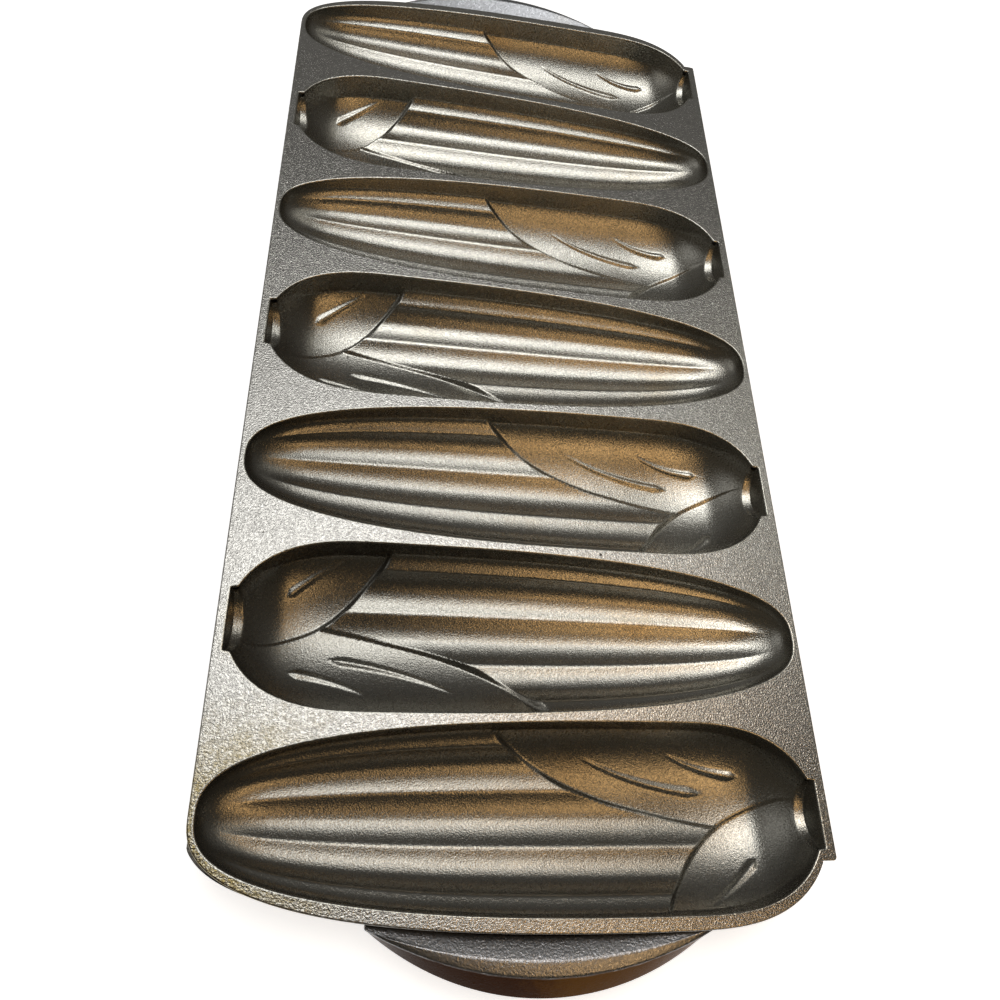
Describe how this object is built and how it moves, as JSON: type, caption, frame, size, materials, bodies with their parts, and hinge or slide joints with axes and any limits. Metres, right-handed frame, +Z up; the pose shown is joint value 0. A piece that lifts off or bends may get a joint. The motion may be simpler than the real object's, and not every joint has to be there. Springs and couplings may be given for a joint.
{
  "type": "cornstick pan",
  "caption": "Flat cast-iron baking pan with a row of corn-cob moulds lying head to tail and a D-shaped lug handle at each end.",
  "frame": {"origin": "on the surface that the pan rests on, under the middle of the deck", "axes": "+X along the cobs, +Y along the row of cobs from the near handle to the far one, +Z up"},
  "size_m": [0.146, 0.3288, 0.018],
  "materials": {
    "seasoned_iron": "seasoned iron with fine sand-cast grain, polished by use on ridges and rims"
  },
  "bodies": {
    "root": {"deck_plate": "seasoned_iron", "cob_cup_1": "seasoned_iron", "stem_pocket_1": "seasoned_iron", "cob_cup_2": "seasoned_iron", "stem_pocket_2": "seasoned_iron", "cob_cup_3": "seasoned_iron", "stem_pocket_3": "seasoned_iron", "cob_cup_4": "seasoned_iron", "stem_pocket_4": "seasoned_iron", "cob_cup_5": "seasoned_iron", "stem_pocket_5": "seasoned_iron", "cob_cup_6": "seasoned_iron", "stem_pocket_6": "seasoned_iron", "cob_cup_7": "seasoned_iron", "stem_pocket_7": "seasoned_iron", "handle_near": "seasoned_iron", "handle_far": "seasoned_iron"}
  },
  "joints": []
}
